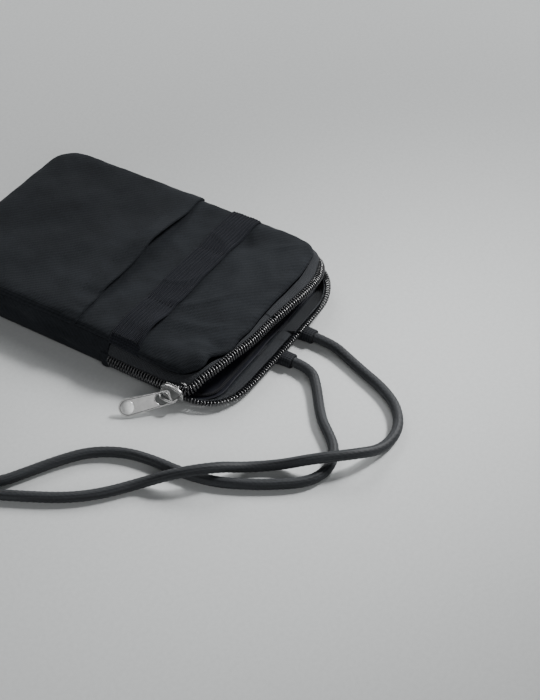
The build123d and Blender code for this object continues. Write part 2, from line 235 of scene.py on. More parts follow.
# ---------------------------------------------------------------- materials
class Nodes:
    """Short calls for wiring one material."""

    def __init__(self, name):
        self.material = bpy.data.materials.new(name)
        self.material.use_nodes = True
        self.tree = self.material.node_tree
        self.shader = self.tree.nodes["Principled BSDF"]
        self.place = self.add("ShaderNodeAttribute")
        self.place.attribute_name = "cloth_mm"

    def add(self, kind, **values):
        node = self.tree.nodes.new(kind)
        for key, value in values.items():
            setattr(node, key, value)
        return node

    def link(self, source, target):
        self.tree.links.new(source, target)

    def math(self, operation, a, b=None):
        node = self.add("ShaderNodeMath", operation=operation)
        for socket, value in zip(node.inputs, (a, b)):
            if value is None:
                continue
            if isinstance(value, (int, float)):
                socket.default_value = value
            else:
                self.link(value, socket)
        return node.outputs[0]

    def sum(self, *weighted, plus=None):
        """The sources times their weights, added up."""
        total = plus
        for source, weight in weighted:
            part = self.math("MULTIPLY", source, weight)
            total = part if total is None else self.math("ADD", part, total)
        return total

    def scaled(self, stretch):
        """The place on the cloth, stretched along each direction."""
        node = self.add("ShaderNodeMapping")
        node.inputs["Scale"].default_value = stretch
        self.link(self.place.outputs["Vector"], node.inputs["Vector"])
        return node.outputs[0]

    def noise(self, scale, detail=2.0, stretch=(1, 1, 1), rough=0.5):
        node = self.add("ShaderNodeTexNoise")
        node.inputs["Scale"].default_value = scale
        node.inputs["Detail"].default_value = detail
        node.inputs["Roughness"].default_value = rough
        self.link(self.scaled(stretch), node.inputs["Vector"])
        return node.outputs[0]

    def waves(self, pitch, axis, distort=0.0):
        """Bands pitch millimetres apart across the given axis."""
        node = self.add("ShaderNodeTexWave", bands_direction=axis)
        node.inputs["Scale"].default_value = pi / 10 / pitch
        node.inputs["Distortion"].default_value = distort
        node.inputs["Detail Scale"].default_value = 1.5
        self.link(self.place.outputs["Vector"], node.inputs["Vector"])
        return node.outputs["Fac"]

    def ramp(self, source, low, high, at=(0.3, 0.7)):
        node = self.add("ShaderNodeValToRGB")
        node.color_ramp.elements[0].position, node.color_ramp.elements[1].position = at
        node.color_ramp.elements[0].color = (*low, 1)
        node.color_ramp.elements[1].color = (*high, 1)
        self.link(source, node.inputs[0])
        return node.outputs[0]

    def bump(self, height, distance, strength=1.0, base=None):
        node = self.add("ShaderNodeBump")
        node.inputs["Strength"].default_value = strength
        node.inputs["Distance"].default_value = distance * MM
        self.link(height, node.inputs["Height"])
        if base is not None:
            self.link(base, node.inputs["Normal"])
        return node.outputs[0]

    def set(self, **values):
        for key, value in values.items():
            self.shader.inputs[key.replace("_", " ")].default_value = value

    def wire(self, **sources):
        for key, source in sources.items():
            self.link(source, self.shader.inputs[key.replace("_", " ")])
        return self.material


def twill(name, dark, light, pitch):
    """Woven cloth: crossed threads with a diagonal, uneven dye and a soft sheen."""
    n = Nodes(name)
    warp, weft = n.waves(pitch, "X", 0.25), n.waves(pitch, "Y", 0.25)
    diagonal = n.waves(pitch * 2.1, "DIAGONAL", 0.4)
    threads = n.sum((warp, 0.39), (weft, 0.39), (diagonal, 0.22))
    slub = n.noise(1.6, 3.0, (0.35, 2.2, 1))
    cloudy = n.noise(0.045, 3.0)
    shade = n.sum((threads, 0.35), (slub, 0.45), (cloudy, 0.35))
    n.wire(Base_Color=n.ramp(shade, dark, light, (0.36, 0.78)))
    n.wire(Roughness=n.sum((slub, 0.18), plus=0.71))
    n.set(Sheen_Weight=0.03, Sheen_Roughness=0.45, Sheen_Tint=(0.75, 0.8, 0.9, 1), Specular_IOR_Level=0.12)
    body = n.bump(n.noise(0.09, 2.0), 0.35, 0.25)
    return n.wire(Normal=n.bump(threads, 0.22, 0.8, n.bump(slub, 0.12, 0.5, body)))


def satin_lining():
    """Thin filament lining with a cool dark shine."""
    n = Nodes("lining_satin")
    threads = n.waves(0.45, "X", 0.15)
    crease = n.noise(0.16, 4.0, (1, 0.35, 1))
    shade = n.sum((crease, 0.7), (threads, 0.3))
    n.wire(Base_Color=n.ramp(shade, (0.003, 0.0035, 0.007), (0.008, 0.0095, 0.017)))
    n.set(Roughness=0.62, Sheen_Weight=0.04, Specular_IOR_Level=0.2)
    return n.wire(Normal=n.bump(threads, 0.06, 0.6, n.bump(crease, 1.0, 0.5)))


def ribbed(name, pitch, dark, light):
    """Tape or webbing with cross ribs and thread ends."""
    n = Nodes(name)
    ribs, threads = n.waves(pitch, "X", 0.5), n.waves(pitch * 0.8, "Y", 0.6)
    speckle = n.noise(2.4, 2.0)
    height = n.sum((ribs, 0.5), (threads, 0.5))
    shade = n.sum((height, 0.45), (speckle, 0.6))
    n.wire(Base_Color=n.ramp(shade, dark, light, (0.3, 0.8)))
    n.set(Roughness=0.78, Sheen_Weight=0.04, Sheen_Roughness=0.4, Specular_IOR_Level=0.15)
    return n.wire(Normal=n.bump(height, 0.22, 0.9, n.bump(speckle, 0.2, 0.5)))


def elastic_weave():
    """Elastic whose warp ribs are in the mesh: the fine covering threads run across them."""
    n = Nodes("elastic_ribbed")
    cross = n.waves(0.75, "X", 0.8)
    fuzz = n.noise(1.9, 3.0, (1, 2.5, 1))
    shade = n.sum((cross, 0.3), (fuzz, 0.7))
    n.wire(Base_Color=n.ramp(shade, (0.003, 0.0038, 0.006), (0.017, 0.019, 0.026)))
    n.set(Roughness=0.76, Sheen_Weight=0.04, Sheen_Roughness=0.4, Specular_IOR_Level=0.15)
    return n.wire(Normal=n.bump(cross, 0.16, 0.8, n.bump(fuzz, 0.1, 0.4)))


def coil_nylon():
    """Black nylon filament, glossy on its rubbed crowns."""
    n = Nodes("zip_coil_nylon")
    wear = n.noise(0.7, 3.0)
    n.wire(Base_Color=n.ramp(wear, (0.006, 0.006, 0.008), (0.022, 0.023, 0.027)))
    n.wire(Roughness=n.sum((wear, 0.2), plus=0.2))
    n.set(Specular_IOR_Level=0.8, Coat_Weight=0.5, Coat_Roughness=0.2)
    return n.wire(Normal=n.bump(n.noise(2.2, 2.0), 0.05, 0.5))


def nickel(name, tone):
    """Plated zinc, brushed along one way, with faint handling marks."""
    n = Nodes(name)
    brushed = n.noise(1.1, 4.0, (0.35, 5.0, 5.0))
    marks = n.noise(0.35, 4.0, rough=0.65)
    low = tuple(0.72 * t for t in tone)
    n.wire(Base_Color=n.ramp(marks, low, tone, (0.25, 0.7)))
    n.wire(Roughness=n.sum((brushed, 0.2), plus=0.22))
    n.set(Metallic=1.0)
    return n.wire(Normal=n.bump(brushed, 0.03, 0.35, n.bump(marks, 0.05, 0.3)))


def braid_yarn():
    """Polyester braid: filaments along each strand, and lengthwise bands of lighter yarn."""
    n = Nodes("cord_braid_yarn")
    bands = n.noise(0.9, 2.0, (0.03, 1.3, 1.3))
    fibres = n.noise(2.6, 3.0, (0.8, 1.6, 1.6))
    shade = n.sum((bands, 0.65), (fibres, 0.4))
    n.wire(Base_Color=n.ramp(shade, (0.007, 0.008, 0.010), (0.042, 0.046, 0.051), (0.38, 0.70)))
    n.set(Roughness=0.6, Sheen_Weight=0.08, Sheen_Roughness=0.35, Specular_IOR_Level=0.3)
    return n.wire(Normal=n.bump(fibres, 0.12, 0.6))


def table_paper():
    """The pale table: faint grain, nothing else."""
    n = Nodes("table_paper")
    grain = n.noise(0.5, 4.0)
    n.wire(Base_Color=n.ramp(grain, (0.60, 0.615, 0.615), (0.64, 0.655, 0.655)))
    n.set(Roughness=0.6, Specular_IOR_Level=0.25)
    return n.wire(Normal=n.bump(grain, 0.05, 0.1))


CLOTH = twill("pouch_twill", (0.0030, 0.0037, 0.0050), (0.025, 0.0285, 0.0335), 0.66)
LINING_CLOTH = satin_lining()
BINDING_CLOTH = ribbed("binding_grosgrain", 0.9, (0.006, 0.006, 0.008), (0.020, 0.021, 0.025))
TAPE_CLOTH = ribbed("zip_tape_weave", 0.8, (0.012, 0.0132, 0.0155), (0.062, 0.066, 0.073))
WEBBING_CLOTH = ribbed("webbing_weave", 1.3, (0.007, 0.008, 0.010), (0.028, 0.030, 0.034))
ELASTIC_CLOTH = elastic_weave()
COIL_PLASTIC = coil_nylon()
THREAD = ribbed("sewing_thread", 0.5, (0.008, 0.009, 0.011), (0.022, 0.024, 0.028))
PLATED = nickel("nickel_plated", (0.60, 0.60, 0.595))
# Dark nickel used only as painted shade: the shadow of the recess inside the pull's edge.
PLATED_PAINTED_SHADE = nickel("nickel_painted_groove_shade", (0.10, 0.10, 0.105))
PLATED_DISC = nickel("nickel_disc", (0.93, 0.94, 0.93))
CORD_YARN = braid_yarn()
TABLE = table_paper()


# ---------------------------------------------------------------- shape of the filled pouch
def rounded_loop(half, low_y, high_y, low_r, high_r):
    """A rounded outline, counter-clockwise from the low end of the slider's side."""
    points = []

    def straight(a, b, steps):
        points.extend(np.linspace(a, b, steps, endpoint=False).tolist())

    def corner(x, y, radius, turn):
        for t in np.linspace(radians(turn), radians(turn + 90), STEPS_CORNER, endpoint=False):
            points.append([x + radius * cos(t), y + radius * sin(t)])

    straight((half, low_y + low_r), (half, high_y - high_r), STEPS_Y)
    corner(half - high_r, high_y - high_r, high_r, 0)
    straight((half - high_r, high_y), (high_r - half, high_y), STEPS_X)
    corner(high_r - half, high_y - high_r, high_r, 90)
    straight((-half, high_y - high_r), (-half, low_y + low_r), STEPS_Y)
    corner(low_r - half, low_y + low_r, low_r, 180)
    straight((low_r - half, low_y), (half - low_r, low_y), STEPS_X)
    corner(half - low_r, low_y + low_r, low_r, 270)
    return np.array(points)


def inset_loop(shape, inset):
    """A closed flat line inside an outline."""
    half, low_y, high_y, low_r, high_r = shape
    return rounded_loop(half - inset, low_y + inset, high_y - inset, low_r - inset, high_r - inset)


INSETS = np.array([0, 0.12, 0.4, 0.8, 1.4, 2.2, 3.2, 4.4, 5.8, 7.3, 9.0])


def panel_layout(shape):
    """Places, distance from the edge, and faces of a flat rounded panel: rings, then a grid inside them."""
    half, low_y, high_y, low_r, high_r = shape
    rings = [inset_loop(shape, d) for d in INSETS]
    count = len(rings[0])
    across = np.linspace(high_r - half, half - high_r, STEPS_X + 1)
    upward = np.linspace(low_y + low_r, high_y - high_r, STEPS_Y + 1)
    gx, gy = np.meshgrid(across, upward)
    places = np.vstack(rings + [np.stack([gx.ravel(), gy.ravel()], 1)])
    faces = []
    for ring in range(len(INSETS) - 1):
        for k in range(count):
            a, b = ring * count + k, ring * count + (k + 1) % count
            faces.append([a, b, b + count, a + count])
    base, start = (len(INSETS) - 1) * count, len(INSETS) * count
    columns = STEPS_X + 1
    corner_of = [k * columns + STEPS_X for k in range(STEPS_Y)]
    corner_of += [STEPS_Y * columns + STEPS_X] * STEPS_CORNER
    corner_of += [STEPS_Y * columns + STEPS_X - k for k in range(STEPS_X)]
    corner_of += [STEPS_Y * columns] * STEPS_CORNER
    corner_of += [(STEPS_Y - k) * columns for k in range(STEPS_Y)]
    corner_of += [0] * STEPS_CORNER
    corner_of += list(range(STEPS_X))
    corner_of += [STEPS_X] * STEPS_CORNER
    for k in range(count):
        nxt = (k + 1) % count
        a, b = start + corner_of[k], start + corner_of[nxt]
        faces.append([base + k, base + nxt, b] + ([a] if a != b else []))
    faces += grid_faces(STEPS_Y + 1, columns, start=start)
    depth = edge_distance(places, *shape)
    return places, depth, faces, count


def edge_distance(places, half, low_y, high_y, low_r, high_r):
    """Distance in from a rounded outline."""
    x, y = np.abs(places[:, 0]), places[:, 1]
    radius = np.where(y > (low_y + high_y) / 2, high_r, low_r)
    over_x = x - (half - radius)
    over_y = np.maximum(y - (high_y - radius), (low_y + radius) - y)
    corner = radius - np.hypot(np.maximum(over_x, 0), np.maximum(over_y, 0))
    inside = np.minimum(half - x, np.minimum(high_y - y, y - low_y))
    return np.maximum(np.where((over_x > 0) & (over_y > 0), corner, inside), 0)


def seam_height(x, y):
    """Height of the front seam, lower beside the slider and at its corner."""
    near = np.interp(y, [-END, -5, 18, 40, 58, 70, END], [17.6, 18.4, 17.4, 16.4, 12.6, 12.8, 12.6])
    far = np.interp(y, [-END, 0, 72, END], [17.4, 18.0, 17.6, 17.0])
    share = np.clip((x + HALF) / (2 * HALF), 0, 1) ** 5
    return far + (near - far) * share


def drawn_in(places):
    """The outline as the filled bag draws it: the slider's corner pulled back, the mouth slightly bowed."""
    x, y = places[:, 0].copy(), places[:, 1].copy()
    corner = smoothstep((x - 18) / 38) * smoothstep((y - 36) / 42)
    y = y - 8.0 * corner
    x = x - 2.8 * corner
    y = y - 1.2 * hill(x, -2, 22) * smoothstep((y - 50) / 30)
    near_mouth = smoothstep((y - 52) / 16)
    y = y - (2.0 * hill(x, 39, 3.6) + 0.9 * hill(x, 22, 5) - 0.7 * hill(x, 30, 4)) * near_mouth
    far = smoothstep((-x - 26) / 30) * smoothstep((y - 52) / 24)
    y = y - 2.6 * far
    x = x + 0.9 * far
    x = x - 0.9 * np.sign(x) * smoothstep((np.abs(x) - 30) / 26) * hill(y, 20, 26)
    return np.stack([x, y], 1)


# Swells and dents: height, middle and width along X, middle and width along Y
FRONT_SWELLS = ((-3.0, -37, 10, 47, 6), (0.8, 10, 22, 62, 12), (-1.5, 37, 12, 50, 8), (1.0, 46, 7, 58, 8))
SLIDER_CORNER_SWELLS = ((-1.3, 33, 4, 71, 6), (0.9, 42, 4, 68, 5))


def swells(x, y, chosen):
    return sum(rise * hill(x, at_x, wide) * hill(y, at_y, long) for rise, at_x, wide, at_y, long in chosen)


def front_height(x, y, depth):
    """Height of the filled front panel's face: a rolled edge, a soft crown, dents and puckers."""
    roll = np.sqrt(1 - (1 - np.clip(depth / EDGE_ROLL, 0, 1)) ** 2)
    mouthward = smoothstep((y - 20) / 60)
    z = seam_height(x, y) + EDGE_RISE * (1 - 0.25 * mouthward) * roll
    inner = smoothstep(depth / 16)
    z = z - 0.9 * inner * hill(y, -30, 60)
    z = z + inner * swells(x, y, FRONT_SWELLS) + swells(x, y, SLIDER_CORNER_SWELLS)
    z = z - 1.1 * inner * hill(y, 17, 7) * (0.6 + 0.4 * hill(x, -10, 30))
    z = z + 0.5 * inner * ripple(x, y, 38, 3) + 0.18 * inner * ripple(x, y, 14, 5)
    edge = hill(depth, 2.5, 2.5)
    puckers = np.sin(x * 0.42 + y * 0.31) + 0.6 * np.sin(x * 0.23 - y * 0.77)
    z = z + 0.32 * edge * puckers * (0.5 + 0.5 * mouthward)
    z = z + 0.45 * smoothstep(depth / 1.4)
    crease = np.abs(ripple(x + 0.4 * y, y, 34, 41))
    z = z + 0.8 * inner * (hill(crease, 0, 0.22) - 0.3) * hill(y, 52, 30)
    return z


FRONT_SHAPE = (HALF, -END, FRONT_END, LOW_R, HIGH_R)
BACK_SHAPE = (HALF, -END, END, BACK_R, BACK_R)
FRONT_PLACES, FRONT_DEPTH, PANEL_FACES, LOOP_COUNT = panel_layout(FRONT_SHAPE)
FRONT_XY = drawn_in(FRONT_PLACES)
FRONT_Z = front_height(FRONT_XY[:, 0], FRONT_XY[:, 1], FRONT_DEPTH)
FRONT_POINTS = np.column_stack([FRONT_XY, FRONT_Z])
FRONT_LOOP = FRONT_POINTS[:LOOP_COUNT]


def face_height(x, y):
    """Height of the front face at any place, from the panel's own points."""
    return front_height(x, y, edge_distance(np.stack([x, y], 1), *FRONT_SHAPE))


def flat_surface(places):
    return np.column_stack([places, np.zeros(len(places))])


def keep_points(points, faces, surface, keep):
    """Only the kept points, and the faces that have all theirs."""
    number = np.cumsum(keep) - 1
    faces = [[number[v] for v in face] for face in faces if all(keep[v] for v in face)]
    return points[keep], faces, surface[keep]


# ---------------------------------------------------------------- the bag's cloth
def build_front():
    panel = build_mesh("front_cover", FRONT_POINTS, PANEL_FACES, CLOTH, flat_surface(FRONT_PLACES))
    finish_piece(solidify(panel, CLOTH_T), "pouch", ["front_panel"])
    keep = FRONT_DEPTH > 1.3
    inner = FRONT_POINTS - np.array([0, 0, 1.5])
    inner[:, 2] += 0.25 * ripple(inner[:, 0], inner[:, 1], 17, 21) - 0.3
    points, faces, surface = keep_points(inner, PANEL_FACES, flat_surface(FRONT_PLACES), keep)
    lining = build_mesh("front_inner_lining", points, [f[::-1] for f in faces], LINING_CLOTH, surface)
    finish_piece(solidify(lining, 0.4), "pouch", ["front_lining"])


def back_height(x, y, depth):
    """The back lies on the table and turns up to its seam at the edge."""
    roll = np.sqrt(1 - (1 - np.clip(depth / 3.0, 0, 1)) ** 2)
    return 1.6 - 1.4 * roll + 0.05 * smoothstep(depth / 10) * (1 + ripple(x, y, 30, 8))


BACK_PLACES, BACK_DEPTH, BACK_FACES, _ = panel_layout(BACK_SHAPE)
BACK_POINTS = np.column_stack([BACK_PLACES, back_height(*BACK_PLACES.T, BACK_DEPTH)])
BACK_LOOP = BACK_POINTS[:LOOP_COUNT]


def build_back():
    faces = [f[::-1] for f in BACK_FACES]
    panel = build_mesh("back_cover", BACK_POINTS, faces, CLOTH, flat_surface(BACK_PLACES))
    finish_piece(solidify(panel, CLOTH_T), "pouch", ["back_panel"])
    points = BACK_POINTS + np.array([0, 0, 1.6])
    points[:, 2] += 0.3 * (1 + ripple(points[:, 0], points[:, 1], 19, 31))
    kept = keep_points(points, BACK_FACES, flat_surface(BACK_PLACES), BACK_DEPTH > 1.3)
    lining = build_mesh("back_inner_lining", kept[0], kept[1], LINING_CLOTH, kept[2])
    finish_piece(solidify(lining, 0.4), "pouch", ["back_lining"])


def wall_order():
    """Loop places of the gusset, from its far side's end, round the bottom, to its end beside the slider."""
    y = BACK_LOOP[:, 1]
    far_start = STEPS_Y + 2 * STEPS_CORNER + STEPS_X
    order = list(range(far_start, LOOP_COUNT)) + list(range(STEPS_Y))
    return [k for k in order if y[k] <= GUSSET_END_Y + WALL_LAP]


def outward(line):
    """Level directions pointing away from the pouch along a line on its wall."""
    side = unit(np.cross(directions(line), UP))
    centre = np.array([0.0, -2.0, 0.0])
    away = np.sign(((line - centre) * side).sum(1))
    return side * away[:, None]


def wall_points(order, rows, inset, bulge, seed):
    """The wall between the back and front seams, as a grid from bottom to top."""
    top, bottom = FRONT_LOOP[order].copy(), BACK_LOOP[order].copy()
    away = outward(bottom)
    along = lengths_along(bottom)
    t = np.linspace(0, 1, rows)[:, None]
    points = bottom[None] * (1 - t[..., None]) + top[None] * t[..., None]
    height = points[..., 2]
    fold = bulge * np.sin(pi * t) ** 0.8 + 0.75 * np.sin(pi * t) * ripple(along[None], height * 3, 24, seed)
    drift = ripple(along[None], height, 40, seed + 1)
    fold = fold + 0.3 * np.sin(pi * t) * np.sin(along[None] / 3.4 + 3 * t + drift)
    points = points + away[None] * (fold - inset)[..., None]
    return points, laid(height.shape, along, height)


def build_wall():
    order = wall_order()
    rows = 18
    points, surface = wall_points(order, rows, 0.0, 1.3, 11)
    wall = build_mesh("side_wall", points, grid_faces(rows, len(order)), CLOTH, surface)
    finish_piece(solidify(wall, CLOTH_T), "pouch", ["side_gusset"])
    points, surface = wall_points(order, rows, 1.9, 1.0, 12)
    points[..., 2] = np.clip(points[..., 2], 2.6, None) - 0.4 * (points[..., 2] > 14)
    faces = [f[::-1] for f in grid_faces(rows, len(order))]
    lining = build_mesh("side_inner_lining", points, faces, LINING_CLOTH, surface)
    finish_piece(solidify(lining, 0.4), "pouch", ["gusset_lining"])


def build_bindings():
    """Half-round binding sewn over the seam allowances, inside the bag."""
    turn = np.linspace(0, pi, 7)
    seams = (
        ("front_seam_tape", FRONT_SHAPE, -1, "front_seam_binding"),
        ("back_seam_tape", BACK_SHAPE, 1, "back_seam_binding"),
    )
    for name, shape, side, node in seams:
        rows = []
        for t in turn:
            inset = 3.9 - 0.85 * cos(t)
            line = inset_loop(shape, inset)
            z = np.full(len(line), 2.5 + 0.75 * sin(t))
            if side < 0:
                line = drawn_in(line)
                z = front_height(*line.T, np.full(len(line), inset)) - 2.2 - 0.75 * sin(t)
            rows.append(np.column_stack([line, z]))
        points = np.array(rows)
        along = lengths_along(points[0])
        surface = laid(points.shape[:2], along, turn[:, None])
        faces = grid_faces(len(turn), LOOP_COUNT, wrap=True)
        piece = build_mesh(name, points, faces, BINDING_CLOTH, surface)
        finish_piece(solidify(piece, 0.25), "pouch", [node])


# ---------------------------------------------------------------- pocket and elastic
def pocket_lift(x, y):
    """How far the slip pocket stands off the front, most at the middle of its hem."""
    toward_hem = smoothstep((y - (HEM_Y - 30)) / 30)
    gape = 4.2 * hill(x, -14, 27) + 2.2 * hill(x, 26, 12)
    pucker = 0.9 * hill(x, 44, 3.6) - 0.5 * hill(x, 36.5, 3.0) + 0.5 * hill(x, 51, 2.5)
    near_edge = smoothstep((HALF - np.abs(x)) / 5)
    return 0.55 + (gape * toward_hem + pucker * smoothstep((y - (HEM_Y - 16)) / 16)) * near_edge


def pocket_line(y):
    """The hem's own waviness along its length."""
    return 0.35 * np.sin(y / 7.0) + 0.25 * np.sin(y / 3.3 + 1)


def build_pocket():
    keep = FRONT_PLACES[:, 1] <= HEM_Y + 0.01
    x, y = FRONT_XY[:, 0], FRONT_XY[:, 1]
    points = FRONT_POINTS.copy()
    points[:, 2] += pocket_lift(x, y) + 0.15 * ripple(x, y, 23, 13)
    share = smoothstep(FRONT_DEPTH / 2.0)
    points[:, 2] = FRONT_POINTS[:, 2] + (points[:, 2] - FRONT_POINTS[:, 2]) * share + 0.25
    outside = unit(FRONT_XY - np.array([0.0, -2.0]))
    points[:, :2] += outside * (0.7 * (1 - share))[:, None]
    points, faces, surface = keep_points(points, PANEL_FACES, flat_surface(FRONT_PLACES), keep)
    pocket = build_mesh("slip_pocket", points, faces, CLOTH, surface)
    finish_piece(solidify(pocket, 0.55), "pouch", ["pocket_panel"])


def build_hem():
    """The folded hem: the cloth turned under round a soft nose, with its row of stitches."""
    depth_in, nose = 10.0, 0.85
    across = np.linspace(-HALF + 0.4, HALF - 0.4, 170)
    top = np.linspace(-depth_in, 0, 14)
    turn = np.linspace(0, pi, 8)[1:-1]
    profile = [(t, 0.0) for t in top] + [(nose * sin(a), nose * (cos(a) - 1)) for a in turn]
    profile += [(t, -2 * nose) for t in top[::-1]]
    profile = np.array(profile)
    x = across[:, None] + 0 * profile[None, :, 0]
    y_line = HEM_Y + pocket_line(across)[:, None] * 0.6
    y = y_line + profile[None, :, 0]
    flat_y = np.minimum(y, y_line)
    base = face_height(x.ravel(), flat_y.ravel()).reshape(x.shape)
    lift = pocket_lift(x, flat_y) + 0.15 * ripple(x, flat_y, 23, 13)
    step = 0.45 * smoothstep((profile[None, :, 0] + depth_in) / 5.0) - 0.40
    z = base + lift + 0.25 + step + profile[None, :, 1]
    points = np.stack([x, y, z], -1)
    length = np.concatenate([[0], np.cumsum(np.hypot(*np.diff(profile, axis=0).T))])
    surface = laid(x.shape, x, length)
    hem = build_mesh("pocket_hem_fold", points, bar_faces(len(across), len(profile)), CLOTH, surface)
    finish_piece(hem, "pouch", ["pocket_hem"])

    def on_hem(px):
        py = HEM_Y + pocket_line(np.array([px]))[0] * 0.6 - 8.6
        height = face_height(np.array([px]), np.array([py]))[0]
        height += float(pocket_lift(np.array([px]), np.array([py]))[0] + 0.15 * ripple(px, py, 23, 13)) + 0.22
        return np.array([px, py, height])

    line = [on_hem(px) for px in np.arange(-HALF + 2, HALF - 2, 0.7)]
    stitches("hem_stitches", line, 2.6, "pouch", radius=0.11)


def stitches(name, line, pitch, body, radius=0.17):
    """A row of lockstitches, each a short bowed thread that dips at both ends."""
    gap = 0.35
    line = resample(np.array(line), 0.25)
    along = lengths_along(line)
    parts = []
    for number, start in enumerate(np.arange(0.5, along[-1] - pitch, pitch)):
        inside = (along >= start) & (along <= start + pitch * (1 - gap / pitch * 2))
        span = line[inside]
        if len(span) < 4:
            continue
        t = np.linspace(0, 1, len(span))
        bow = 0.22 * np.sin(pi * t) - 0.12
        parts.append(tube(name + str(number), (span + UP * bow[:, None])[::2], radius, THREAD, sides=5))
    row = join(name, parts)
    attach(row, body)


RIBS = 10
END_DROP = 1.9          # how far the band dips into each side seam
TACKS = (-20.0, 24.0)


def band_height(x, y):
    """Height of the elastic's middle line: stretched over dents, held down at its tacks and its ends."""
    pull = sum(hill(x, at, 2.6) for at in TACKS)
    lifted = 0.75 * hill(x, 2, 12) + 0.6 * hill(x, -38, 10) + 1.1 * hill(x, 40, 8)
    lower_edge = smoothstep((y - ELASTIC_HIGH_Y + 7) / 7)
    lifted = lifted + 2.3 * hill(x, 41, 9) * lower_edge
    ends = smoothstep((HALF - np.abs(x)) / 6)
    return 0.75 + lifted * ends - 0.35 * pull


def build_elastic():
    width = ELASTIC_HIGH_Y - ELASTIC_LOW_Y
    per_rib = 7
    across = np.linspace(0, 1, RIBS * per_rib + 1)
    along = np.linspace(-HALF, HALF, 225)
    x, v = np.meshgrid(along, across, indexing="ij")
    pinch = 1 - 0.03 * sum(hill(x, at, 4) for at in TACKS)
    shift = 0.25 * hill(x, TACKS[0], 6) - 0.35 * hill(x, TACKS[1], 7) + 0.15 * np.sin(x / 17)
    y = (ELASTIC_LOW_Y + ELASTIC_HIGH_Y) / 2 + (v - 0.5) * width * pinch + shift
    base = face_height(x.ravel(), y.ravel()).reshape(x.shape)
    smooth_base = (base + np.roll(base, 6, 0) + np.roll(base, -6, 0)) / 3
    smooth_base[:6], smooth_base[-6:] = base[:6], base[-6:]
    rib = 0.75 * np.abs(np.sin(pi * v * RIBS)) ** 0.7
    edge = np.minimum(v, 1 - v) * RIBS
    z = np.maximum(base, smooth_base) + band_height(x, y) + rib * np.clip(edge * 3, 0, 1)
    slope_end = smoothstep((HALF - np.abs(x)) / 3.2)
    z = z - END_DROP * (1 - slope_end)
    x_out = x - 0.3 * np.sign(x) * (1 - slope_end)
    surface = np.stack([x, y, 0 * x], -1)
    points = np.stack([x_out, y, z], -1)
    faces = [f[::-1] for f in grid_faces(len(along), len(across))]
    band = build_mesh("elastic_strap", points, faces, ELASTIC_CLOTH, surface)
    finish_piece(solidify(band, 0.7), "pouch", ["elastic_band"])
    parts = []
    for number, at in enumerate(TACKS + (-HALF + 3.4, HALF - 3.4)):
        for row in np.linspace(ELASTIC_LOW_Y + 1.2, ELASTIC_HIGH_Y - 1.2, 11):
            t = np.linspace(-0.5, 0.5, 6)
            px = at + 0.25 * np.sin(row * 2.1) + 0.35 * t
            py = row + 1.15 * t
            pz = face_height(px, py) + band_height(px, py) + 0.45 + 0.18 * np.cos(pi * t)
            pz = pz - END_DROP * (1 - smoothstep((HALF - np.abs(px)) / 3.2))
            parts.append(tube(f"tack{number}_{row:.1f}", np.column_stack([px, py, pz]), 0.17, THREAD, 5))
    finish_piece(join("elastic_tack_threads", parts), "pouch", ["elastic_tacks"])


# ---------------------------------------------------------------- zip
FRONT_COIL = [
    (57.3, 26.4, 7.3), (57.5, 40, 7.3), (57.4, 55, 7.3), (57.3, 65, 7.3), (56.6, 70.4, 7.9),
    (53.9, 73.0, 10.0), (49.3, 74.7, 12.2), (41.5, 77.4, 13.8), (31.3, 79.6, 14.4),
    (21.5, 81.8, 14.6), (12, 82.8, 14.6), (2.6, 83.2, 14.6), (-11, 84.7, 14.8), (-24.9, 86.2, 14.8),
    (-37.3, 85.6, 14.0), (-45.7, 82.9, 12.8), (-52.4, 78.4, 11.0), (-56.2, 72.5, 9.2),
    (-57.4, 65, 7.6), (-57.5, 55, 7.3), (-57.5, 40, 7.3), (-57.3, 26.4, 7.3),
]
REAR_COIL = [
    (57.3, 26.4, 4.3), (57.5, 40, 4.3), (57.4, 55, 4.3), (57.4, 66, 4.2), (57.0, 72.5, 3.7),
    (55.2, 78.5, 3.3), (51.2, 84.3, 3.2), (45, 88.3, 3.2), (36, 90.6, 3.4), (18, 91.5, 3.8),
    (0, 91.8, 4.0), (-18, 92.1, 4.4), (-31.5, 92.0, 5.0), (-41, 89.2, 6.0), (-47.6, 84.6, 6.6),
    (-53.4, 77.6, 5.4), (-56.6, 70.5, 4.5), (-57.5, 63, 4.3), (-57.5, 40, 4.3), (-57.3, 26.4, 4.3),
]


def nearest_on(loop, line):
    """For each point of line, the nearest place on a closed loop."""
    a = loop
    b = np.roll(loop, -1, 0)
    found = []
    for p in line:
        ab = b - a
        t = np.clip(((p - a) * ab).sum(1) / np.maximum((ab * ab).sum(1), 1e-9), 0, 1)
        q = a + ab * t[:, None]
        found.append(q[np.argmin(((q - p) ** 2).sum(1))])
    return np.array(found)


def zip_side(name, control, loop, tuck, sunk, bulge, phase):
    """One side of the zip: its woven tape, its coil and the stitches that hold it, in two halves."""
    line = through(control, 0.5)
    root = soften(nearest_on(loop, line), 6)
    mate = unit(line - root)
    mate = unit(soften(mate, 8))
    along = directions(line)
    face = unit(np.cross(along, mate))
    face *= np.sign((face * (outward(line) + UP * 0.3)).sum(1))[:, None]
    mate = unit(np.cross(face, along) * np.sign((np.cross(face, along) * mate).sum(1))[:, None])
    lengths = lengths_along(line)
    for half, side in (("slider_side", 1), ("far_side", -1)):
        inside = line[:, 0] * side >= -0.01
        lapped = line[:, 0] * side >= -0.7
        build_tape(name, half, line[lapped], root[lapped], mate[lapped], face[lapped],
                   lengths[lapped], tuck, sunk, bulge)
        build_coil(name, half, line[inside], mate[inside], face[inside], lengths[inside], phase)


def bend_to_lip(piece, nodes=()):
    """Hides the CAD nodes that a zip piece stands for and bakes its placement into its points."""
    if nodes:
        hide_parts(*nodes)
    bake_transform(piece)


